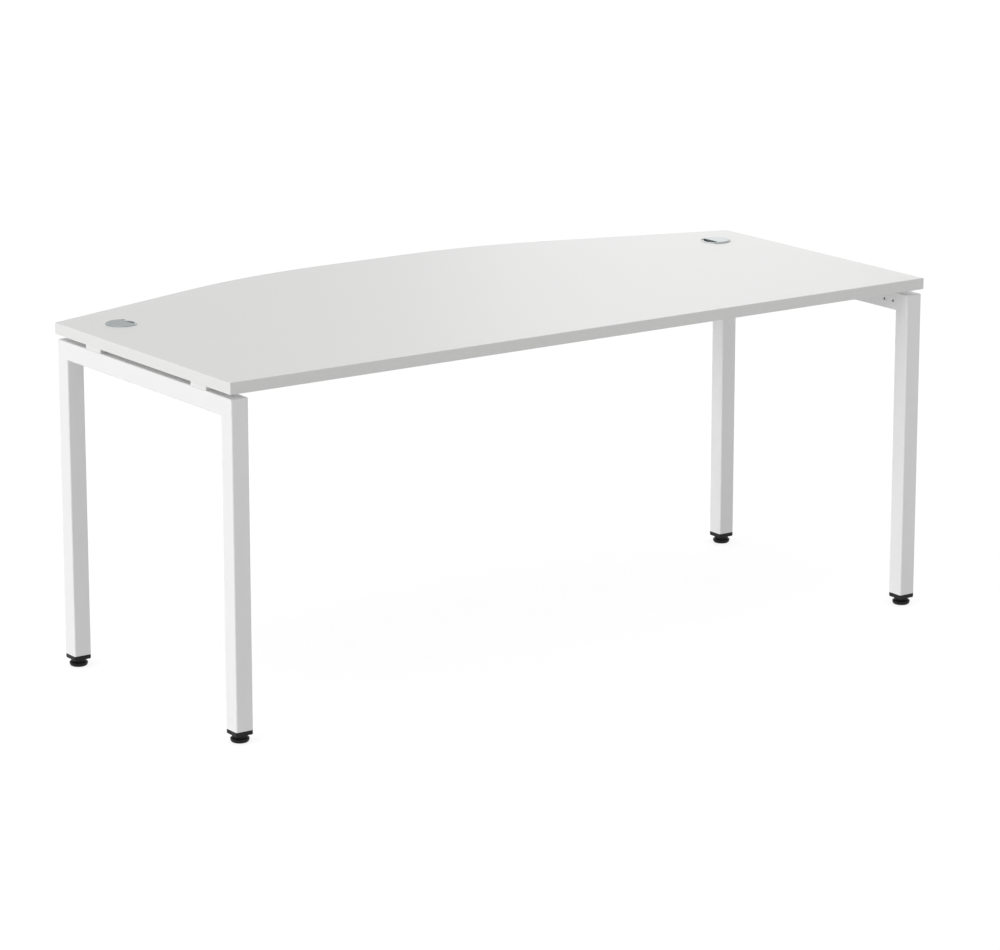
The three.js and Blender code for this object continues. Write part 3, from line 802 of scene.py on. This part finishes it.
def threaded_rod(name, radius, pitch, depth, low, high, steps=28):
    """A helical thread about Z between two heights, closed at both ends."""
    start = low - SPARE_TURNS * pitch
    turns = math.ceil((high - low) / pitch) + 2 * SPARE_TURNS
    root = radius - depth
    piece = draw_chain(name, [(root, 0, start), (radius, 0, start + pitch / 2), (root, 0, start + pitch)])
    bpy.ops.object.mode_set(mode="OBJECT")
    bpy.ops.object.transform_apply()
    modify(piece, "SCREW", angle=math.tau, screw_offset=pitch * MM, iterations=turns, steps=steps,
           render_steps=steps, use_merge_vertices=True, merge_threshold=SNAP * MM)
    enter(piece)
    merge_points()
    for height, cleared in ((low, "clear_inner"), (high, "clear_outer")):
        pick_all()
        bpy.ops.mesh.bisect(plane_co=(0, 0, height * MM), plane_no=(0, 0, 1), use_fill=True,
                            **{cleared: True})
    return leave()


HEAD_RADIUS = 5.25
HEAD_HEIGHT = 3.4
HEAD_ARRIS = 1.6
SOCKET_RADIUS = 2.3
SOCKET_DEPTH = 2.2
SHANK_RADIUS = 3
SHANK_ROOT = 0.2


def button_screw(name, length):
    """An M6 button-head screw: its head is below zero and its shank runs up from zero."""
    dome = quarter_curve((HEAD_RADIUS - HEAD_ARRIS, HEAD_ARRIS - HEAD_HEIGHT), (HEAD_ARRIS, -HEAD_ARRIS),
                         steps=3)
    head = turned(name, [(0, -HEAD_HEIGHT)] + dome[::-1] + [(HEAD_RADIUS, 0), (0, 0)], steps=48)
    cut(head, drill(SOCKET_RADIUS, (0, 0), -HEAD_HEIGHT - OVERRUN, -HEAD_HEIGHT + SOCKET_DEPTH, sides=6))
    shank = threaded_rod("shank", SHANK_RADIUS, THREAD_PITCH, THREAD_DEPTH, -SHANK_ROOT, length)
    return join(head, shank)


screw_low, screw_high = node_box("top_screw_left_front")
SCREW_SEAT = screw_low.z + HEAD_HEIGHT
top_screw = button_screw("top_screw_master", screw_high.z - SCREW_SEAT)
for side, end in PLACES:
    spot = node_middle(f"top_screw_{side}_{end}")
    screw = copy_to(top_screw, f"worktop_screw_{side}_{end}", (spot.x, spot.y, SCREW_SEAT))
    finish(screw, zinc, [f"top_screw_{side}_{end}"])
print("worktop screws are", round(screw_high.z - SCREW_SEAT, 1), "mm long")
bpy.data.objects.remove(top_screw)

# %% The eight bolts that hold the beams
bolt_low, bolt_high = node_box("beam_bolt_left_front_1")
bolt_length = bolt_high.x - bolt_low.x - HEAD_HEIGHT
bolt_master = button_screw("bolt_master", bolt_length)
for side, end in PLACES:
    for number in (1, 2):
        name = f"beam_bolt_{side}_{end}_{number}"
        low, high = node_box(name)
        sign = SIDES[side]
        seat = high.x - HEAD_HEIGHT if sign < 0 else low.x + HEAD_HEIGHT
        bolt = copy_to(bolt_master, f"plate_bolt_{side}_{end}_{number}",
                       (seat, (low.y + high.y) / 2, CROSSBAR_Z), (0, sign * 90, 0))
        finish(bolt, zinc, [name])
print("plate bolts are", round(bolt_length, 1), "mm long")
bpy.data.objects.remove(bolt_master)

# %% [markdown]
# ## Beams
# Two 40 by 20 tubes run the length of the desk, hidden behind its front edge. Each is a long block with
# its edges rounded, its ends opened and its wall given by Solidify. A plate with rounded corners closes
# each end, and a vent hole in it lets the coating's rinse water drain.

# %% Beam tubes and their end plates
BEAM_RADIUS = 2
PLATE_CORNER = 4
PLATE_SOFTENING = 0.5
VENT_RADIUS = 5
for end in ENDS:
    low, high = node_box(f"beam_{end}")
    half_length = node_box(f"beam_plate_right_{end}")[0].x
    low.x, high.x = -half_length, half_length
    beam = block(f"tie_beam_{end}", low, high)
    enter(beam)
    round_edges(lambda edge: runs_along(edge, "X"), BEAM_RADIUS, segments=4)
    pick("FACE", lambda face: abs(face.normal.x) > 0.9)
    bpy.ops.mesh.delete(type="ONLY_FACE")
    leave()
    hollow(beam, WALL)
    finish(beam, coating, [f"beam_{end}"])

for side, end in PLACES:
    low, high = node_box(f"beam_plate_{side}_{end}")
    plate = soft_block(f"tie_plate_{side}_{end}", low, high, "X", PLATE_CORNER, PLATE_SOFTENING)
    for shift, radius in ((-BOLT_REACH, SCREW_HOLE), (0, VENT_RADIUS), (BOLT_REACH, SCREW_HOLE)):
        y = (low.y + high.y) / 2 + shift
        cut(plate, rod("drill", radius, (low.x - OVERRUN, y, CROSSBAR_Z), (high.x + OVERRUN, y, CROSSBAR_Z)))
    finish(plate, coating, [f"beam_plate_{side}_{end}"])
print("beam length", round(2 * half_length, 1), "mm, plates", [round(v, 1) for v in high - low])

# %% [markdown]
# ## Leg caps
# A black moulded cap closes each leg. Its flange shows as a dark band under the tube, with its lower rim
# rounded. Above the flange a hollow square spigot with two gripping ribs is pressed up the tube, and
# underneath, a hexagonal pocket holds the steel nut. The spigot is extruded out of the flange step by
# step, and each rib is a thin step that is scaled out a little.

# %% Model one cap about its own axis
CAP_RIM = 2.6
SPIGOT_HALF = 17
SPIGOT_CORNER = 1.2
RIB_HALF = 17.7
RIB_HEIGHT = 2
RIB_STARTS = (7, 18)
SPIGOT_HEIGHT = 28
SPIGOT_WALL = 2.2
SPIGOT_FLOOR = 4
NUT_FLATS = 17.6
SPINDLE_HOLE = 5.3
CAP_GAP = 0.05
cap_bottom = node_box("leg_cap_left_front")[0].z
cap_seat = TUBE_BOTTOM - CAP_GAP


def grow(share):
    """Scale the selection about the Z axis."""
    bpy.ops.transform.resize(value=(share, share, 1), center_override=(0, 0, 0))


half = TUBE / 2
cap_master = block("cap_master", (-half, -half, cap_bottom), (half, half, cap_seat))
enter(cap_master)
pick("FACE", lambda face: face.normal.z > 0.9)
bpy.ops.mesh.inset(thickness=(half - SPIGOT_HALF) * MM)
height = 0
for start in RIB_STARTS:
    extrude(z=start - height)
    extrude()
    grow(RIB_HALF / SPIGOT_HALF)
    extrude(z=RIB_HEIGHT)
    extrude()
    grow(SPIGOT_HALF / RIB_HALF)
    height = start + RIB_HEIGHT
extrude(z=SPIGOT_HEIGHT - height)
bpy.ops.mesh.inset(thickness=SPIGOT_WALL * MM)
extrude(z=SPIGOT_FLOOR - SPIGOT_HEIGHT)
round_edges(lambda edge: runs_along(edge, "Z") and middle(edge).z < cap_seat, TUBE_RADIUS)
round_edges(lambda edge: runs_along(edge, "Z") and middle(edge).z > cap_seat
            and abs(middle(edge).x) > SPIGOT_HALF - SPIGOT_WALL / 2, SPIGOT_CORNER)
round_edges(lambda edge: middle(edge).z < cap_bottom + NEAR, CAP_RIM)
leave()
cut(cap_master,
    drill(SPINDLE_HOLE, (0, 0), cap_bottom - OVERRUN, TUBE_BOTTOM + SPIGOT_HEIGHT),
    drill(NUT_FLATS / math.sqrt(3), (0, 0), cap_bottom - OVERRUN, TUBE_BOTTOM, sides=6))
print("cap height", round(cap_master.dimensions.z / MM, 1))

# %% [markdown]
# ## Levelling feet
# Each foot is a fluted black hub moulded on an M10 spindle, over a round pad. The hub starts as a
# cylinder whose upright edges are drawn in towards the axis in twelve shallow waves. The pad is turned: a
# quarter ellipse up from its base to its widest point, a rounded shoulder, and a socket for the spindle.

# %% The hub with its spindle
HUB_FLUTES = 12
FLUTE_DEPTH = 0.6
HUB_STEPS = 96
HUB_SOFTENING = 0.7
SPINDLE_RADIUS = 5
SPINDLE_PITCH = 1.5
SPINDLE_DEPTH = 0.75
pad_low, pad_high = node_box("foot_pad_left_front")
screw_low, screw_high = node_box("foot_screw_left_front")
HUB_RADIUS = (screw_high.y - screw_low.y) / 2
HUB_GAP = 0.3
hub_bottom = pad_high.z + HUB_GAP
hub_top = cap_bottom - HUB_GAP

hub_master = rod("hub_master", HUB_RADIUS, (0, 0, hub_bottom), (0, 0, hub_top), HUB_STEPS)
enter(hub_master)
for step in range(1, HUB_STEPS // HUB_FLUTES):
    share = 1 - FLUTE_DEPTH / HUB_RADIUS * (1 - math.cos(step * HUB_FLUTES / HUB_STEPS * math.tau)) / 2
    pick("VERT", lambda vert: round(math.atan2(vert.co.y, vert.co.x) / math.tau * HUB_STEPS)
         % (HUB_STEPS // HUB_FLUTES) == step)
    grow(share)
round_edges(lambda edge: not runs_along(edge, "Z"), HUB_SOFTENING, segments=3)
leave()
spindle = threaded_rod("spindle", SPINDLE_RADIUS, SPINDLE_PITCH, SPINDLE_DEPTH,
                       screw_low.z, screw_high.z, steps=36)
join(hub_master, spindle)
print("hub radius", round(HUB_RADIUS, 2), "from", round(hub_bottom, 1), "to", round(hub_top, 1))

# %% The pad
PAD_BASE_RADIUS = 14.5
PAD_WAIST = 7.6
PAD_SHOULDER = 2.4
PAD_SOCKET = 5.3
PAD_SOCKET_DEPTH = 5
PAD_FOOT_RIM = 0.5
PAD_CURVE_STEPS = 9
pad_radius = (pad_high.x - pad_low.x) / 2
pad_top = pad_high.z
belly = quarter_curve((PAD_BASE_RADIUS, PAD_WAIST), (pad_radius - PAD_BASE_RADIUS, -PAD_WAIST),
                      PAD_CURVE_STEPS)
shoulder = quarter_curve((pad_radius - PAD_SHOULDER, PAD_WAIST), (PAD_SHOULDER, pad_top - PAD_WAIST),
                         PAD_CURVE_STEPS)
pad_master = turned("pad_master", [(0, 0)] + belly[::-1] + shoulder[1:] + [
    (PAD_SOCKET + PAD_FOOT_RIM, pad_top), (PAD_SOCKET, pad_top - PAD_FOOT_RIM),
    (PAD_SOCKET, pad_top - PAD_SOCKET_DEPTH), (0, pad_top - PAD_SOCKET_DEPTH)], steps=80)
print("pad radius", round(pad_radius, 2), "top", round(pad_top, 2))

# %% Put a cap, a hub and a pad under each leg
foot_pieces = ((cap_master, "tube_cap", "leg_cap"), (hub_master, "foot_hub", "foot_screw"),
               (pad_master, "floor_pad", "foot_pad"))
for side, end in PLACES:
    spot = (SIDES[side] * LEG_X, LEG_Y[end], 0)
    for master, name, packed in foot_pieces:
        packed = f"{packed}_{side}_{end}"
        body = "desk" if master is cap_master else packed
        finish(copy_to(master, f"{name}_{side}_{end}", spot), nylon, [packed], body)
for master in (cap_master, hub_master, pad_master):
    bpy.data.objects.remove(master)
print("pieces so far:", len(pieces))

# %% [markdown]
# ## Cable grommets
# A plated liner is pressed into the hole in the board, and a satin cover drops into it. A straight-sided
# port is cut out of the cover's softly rounded rim on the side towards the desk's middle. Under it a round
# shutter swings on a pivot, with a finger tab, so that it can close the port. All three are turned, and
# blocks make the straight cuts afterwards. They are modelled about their own axis and then moved.

# %% The liner
low, high = node_box("grommet_liner_left")
liner_bottom, flange_top = low.z, high.z
FLANGE_GAP = 0.02
flange_bottom = TOP + FLANGE_GAP
FIT = 0.3
LINER_WALL = 1.7
LINER_OUTER = GROMMET_HOLE - FIT
LINER_INNER = LINER_OUTER - LINER_WALL
FLANGE_RADIUS = 32
FLANGE_SOFTENING = 0.4
ARC_MIDDLE = FLANGE_SOFTENING * 0.3
LEAD_IN = 0.8
liner_master = turned("liner_master", [
    (LINER_INNER, liner_bottom), (LINER_OUTER - LEAD_IN, liner_bottom),
    (LINER_OUTER, liner_bottom + 2 * LEAD_IN), (LINER_OUTER, flange_bottom), (FLANGE_RADIUS, flange_bottom),
    (FLANGE_RADIUS, flange_top - FLANGE_SOFTENING), (FLANGE_RADIUS - ARC_MIDDLE, flange_top - ARC_MIDDLE),
    (FLANGE_RADIUS - FLANGE_SOFTENING, flange_top), (LINER_INNER + FLANGE_SOFTENING, flange_top),
    (LINER_INNER, flange_top - FLANGE_SOFTENING), (LINER_INNER, liner_bottom)], steps=128)
print("liner from", round(liner_bottom, 1), "to", round(flange_top, 1))

# %% The cover with its port and pivot
COVER_RADIUS = 34
COVER_PLATE = 1.5
RIM_DROP = 2
RIM_WIDTH = 4
RIM_SLOPE = 1.5
SKIRT_WALL = 1.2
SKIRT_OUTER = LINER_INNER - FIT
SKIRT_INNER = SKIRT_OUTER - SKIRT_WALL
SKIRT_DEPTH = 8
LIP_INNER = FLANGE_RADIUS + FIT
PORT_OFFSET = 13
PORT_HALF_WIDTH = 24
PORT_ARRIS = 0.25
CUTTER_REACH = 30
PIVOT_RADIUS = 3
PIVOT_HEAD_RADIUS = 4.5
PIVOT_HEAD_HEIGHT = 1
cover_top = node_box("grommet_cover_left")[1].z
cover_underside = cover_top - COVER_PLATE
skirt_bottom = cover_underside - SKIRT_DEPTH
shutter_top = cover_underside - FIT
SHUTTER_PLATE = 1.2
shutter_bottom = shutter_top - SHUTTER_PLATE

# With a slope of 1 the rim is a quarter ellipse, and with 2 it is a straight chamfer
rim = quarter_curve((COVER_RADIUS - RIM_WIDTH, cover_top - RIM_DROP), (RIM_WIDTH, RIM_DROP),
                    steps=8, slope=RIM_SLOPE)
cover_master = turned("cover_master", [
    (0, cover_underside), (SKIRT_INNER, cover_underside), (SKIRT_INNER, skirt_bottom),
    (SKIRT_OUTER, skirt_bottom), (SKIRT_OUTER, cover_underside), (LIP_INNER, cover_underside),
    (LIP_INNER, flange_bottom), (COVER_RADIUS - PORT_ARRIS, flange_bottom),
    (COVER_RADIUS, flange_bottom + PORT_ARRIS)] + rim + [(0, cover_top)], steps=128)
cut(cover_master, block("port", (PORT_OFFSET, -PORT_HALF_WIDTH, TOP - CUTTER_REACH),
                        (COVER_RADIUS + OVERRUN, PORT_HALF_WIDTH, TOP + CUTTER_REACH)))
modify(cover_master, "BEVEL", width=PORT_ARRIS * MM, segments=2, limit_method="ANGLE",
       angle_limit=math.radians(60), use_clamp_overlap=True)
head_top = shutter_bottom - FIT
head_bottom = head_top - PIVOT_HEAD_HEIGHT
pivot_top = cover_underside + COVER_PLATE / 2
pivot = turned("pivot", [
    (0, head_bottom), (PIVOT_HEAD_RADIUS - PORT_ARRIS, head_bottom),
    (PIVOT_HEAD_RADIUS, head_bottom + PORT_ARRIS), (PIVOT_HEAD_RADIUS, head_top),
    (PIVOT_RADIUS, head_top), (PIVOT_RADIUS, pivot_top), (0, pivot_top)], steps=48)
join(cover_master, pivot)
print("cover faces:", len(cover_master.data.polygons))

# %% The shutter with its tab
SHUTTER_RADIUS = SKIRT_INNER - FIT
TAB_OFFSET = 8.5
TAB_THICKNESS = 3
TAB_LENGTH = 10
TAB_DEPTH = 4
TAB_ROUNDING = 0.8
shutter_master = turned("shutter_master", [
    (PIVOT_RADIUS + FIT, shutter_bottom), (SHUTTER_RADIUS, shutter_bottom),
    (SHUTTER_RADIUS, shutter_top), (PIVOT_RADIUS + FIT, shutter_top),
    (PIVOT_RADIUS + FIT, shutter_bottom)])
cut(shutter_master, block("shutter_cut", (PORT_OFFSET - FIT, -COVER_RADIUS, TOP - CUTTER_REACH),
                          (COVER_RADIUS, COVER_RADIUS, TOP + CUTTER_REACH)))
tab = block("tab", (TAB_OFFSET, -TAB_LENGTH / 2, shutter_bottom - TAB_DEPTH),
            (TAB_OFFSET + TAB_THICKNESS, TAB_LENGTH / 2, shutter_bottom + SHUTTER_PLATE / 2))
enter(tab)
round_edges(lambda edge: middle(edge).z < shutter_bottom, TAB_ROUNDING, segments=3)
leave()
join(shutter_master, tab)
print("shutter faces:", len(shutter_master.data.polygons))

# %% Set both grommets in the board
for side, sign in SIDES.items():
    spot = (sign * grommet_x, grommet_y, 0)
    turn = (0, 0, 0 if side == "left" else 180)
    finish(copy_to(liner_master, f"grommet_ring_{side}", spot, turn), plated,
           [f"grommet_liner_{side}"])
    finish(copy_to(cover_master, f"grommet_lid_{side}", spot, turn), satin,
           [f"grommet_cover_{side}"], body=f"grommet_cover_{side}", angle=25)
    finish(copy_to(shutter_master, f"port_shutter_{side}", spot, turn), satin,
           [f"grommet_shutter_{side}"], body=f"grommet_shutter_{side}")
for master in (liner_master, cover_master, shutter_master):
    bpy.data.objects.remove(master)
print("pieces:", len(pieces))

# %% [markdown]
# ## What stays as packed
# The nuts and the threaded inserts are buried inside the caps and the board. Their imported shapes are
# right and nothing of them shows, so they stay and only get their metals.

# %% Metals for the buried nodes
for name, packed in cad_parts.items():
    metal = {"leg_nut": zinc, "top_insert": brass}.get(name.rsplit("_", 2)[0])
    if metal is not None:
        packed.data.materials.clear()
        packed.data.materials.append(metal)
        print("kept", name)

# %% [markdown]
# ## Floor, background and lamps
# The catalogue picture has a pure white ground. The camera, and anything glossy, sees white floor and
# white surroundings, which comes from Light Path in their materials and not from stronger lamps. A share
# of that floor is a real diffuse surface, so that the desk's soft shadow still falls on it, and for all
# other light the floor is plain pale paint. It is clear from below, so that a camera down there sees the
# desk's underside, and it lies a hair lower than the feet, because two faces at one height flicker.

# %% The world
def seen_directly(tree):
    """1 for rays from the camera, off gloss or through glass, and 0 for the rest."""
    rays = node(tree, "ShaderNodeLightPath").outputs
    two = node(tree, "ShaderNodeMath", {0: rays["Is Camera Ray"], 1: rays["Is Glossy Ray"]},
               operation="MAXIMUM")
    return node(tree, "ShaderNodeMath", {0: two, 1: rays["Is Transmission Ray"]}, operation="MAXIMUM")


WHITE = (1, 1, 1, 1)
SKY_LIGHT = 0.527
world = bpy.data.worlds.new("white_studio")
bpy.context.scene.world = world
tree = empty_tree(world)
soft = node(tree, "ShaderNodeBackground", {"Color": WHITE, "Strength": SKY_LIGHT})
shown = node(tree, "ShaderNodeBackground", {"Color": WHITE, "Strength": 1.0})
mixed = node(tree, "ShaderNodeMixShader", {0: seen_directly(tree), 1: soft, 2: shown})
node(tree, "ShaderNodeOutputWorld", {"Surface": mixed})
print("sky light", SKY_LIGHT)

# %% The floor
FLOOR_SIZE = 80
FLOOR_DROP = 0.2
FLOOR_PAINT = "EDEDED"
FLOOR_GLOW = 1.17
SHADOW_SHARE = 0.3
bpy.ops.mesh.primitive_plane_add(size=FLOOR_SIZE, location=(0, 0, -FLOOR_DROP * MM))
floor = bpy.context.object
floor.name = "studio_floor"
material = bpy.data.materials.new("white_floor")
tree = empty_tree(material)
paint = node(tree, "ShaderNodeBsdfDiffuse", {"Color": linear(FLOOR_PAINT)})
shaded = node(tree, "ShaderNodeBsdfDiffuse", {"Color": WHITE})
glow = node(tree, "ShaderNodeEmission", {"Color": WHITE, "Strength": FLOOR_GLOW})
ground = node(tree, "ShaderNodeMixShader", {0: SHADOW_SHARE, 1: glow, 2: shaded})
mixed = node(tree, "ShaderNodeMixShader", {0: seen_directly(tree), 1: paint, 2: ground})
clear = node(tree, "ShaderNodeBsdfTransparent")
underneath = node(tree, "ShaderNodeNewGeometry").outputs["Backfacing"]
one_sided = node(tree, "ShaderNodeMixShader", {0: underneath, 1: mixed, 2: clear})
node(tree, "ShaderNodeOutputMaterial", {"Surface": one_sided})
floor.data.materials.append(material)

# %% [markdown]
# The photograph's light comes from far to the left and low down: the left faces are the brightest, even
# those under the top, and they grow brighter towards the floor. So the key is a broad sun just above the
# horizon, with a weak second sun overhead for the top. The low sun is hidden from gloss, because its
# mirror image would bleach the whole top for a camera at the right end. A tall panel far behind the right
# end adds nothing but gloss: its blurred mirror image is the pale sheen on the right half of the top.

# %% The lamps
def add_lamp(kind, name, place, target, **settings):
    """A lamp aimed at a target; places and sizes are in metres, and a sun's angle is in radians."""
    bpy.ops.object.light_add(type=kind, location=place)
    lamp = bpy.context.object
    lamp.name = name
    lamp.rotation_euler = (Vector(target) - lamp.location).to_track_quat("-Z", "Y").to_euler()
    for option, value in settings.items():
        setattr(lamp.data, option, value)
    return lamp


DESK = (0, 0, 0)
SHEEN_PLACE = (6.2, 7.0, 2.9)
SHEEN_AIM = (0.5, 0, 0.75)
low_sun = add_lamp("SUN", "low_key_sun", (-10, 0, 1.05), DESK, energy=1.34, angle=math.radians(20))
low_sun.visible_glossy = False
add_lamp("SUN", "overhead_sun", (-3, -0.5, 9.5), DESK, energy=0.42, angle=math.radians(50))
sheen = add_lamp("AREA", "sheen_panel", SHEEN_PLACE, SHEEN_AIM, energy=42, shape="RECTANGLE",
                 size=2.25, size_y=4.4)
sheen.visible_camera = False

# %% [markdown]
# ## Camera
# The photograph looks down on the desk by about fourteen degrees from the user's left, with a long lens.
# Its uprights were kept vertical by a large lens shift. That shift would push the desk out of every other
# view, so this camera is tilted down instead, and its place and lens were fitted so that the top, the
# legs and the feet fall as close to the photograph as a plain lens allows.

# %% The camera
CAMERA_PLACE = (-5.0516, -7.2175, 2.5628)
CAMERA_HEADING = 35.34
CAMERA_PITCH = 14.16
LENS = 148.66
bpy.ops.object.camera_add(location=CAMERA_PLACE)
camera = bpy.context.object
camera.rotation_euler = (math.radians(90 - CAMERA_PITCH), 0, math.radians(-CAMERA_HEADING))
camera.data.lens = LENS
camera.data.sensor_width = 36
camera.data.clip_end = 200
bpy.context.scene.camera = camera
bpy.context.scene.view_settings.view_transform = "Standard"
print("camera at", [round(v, 2) for v in camera.location])
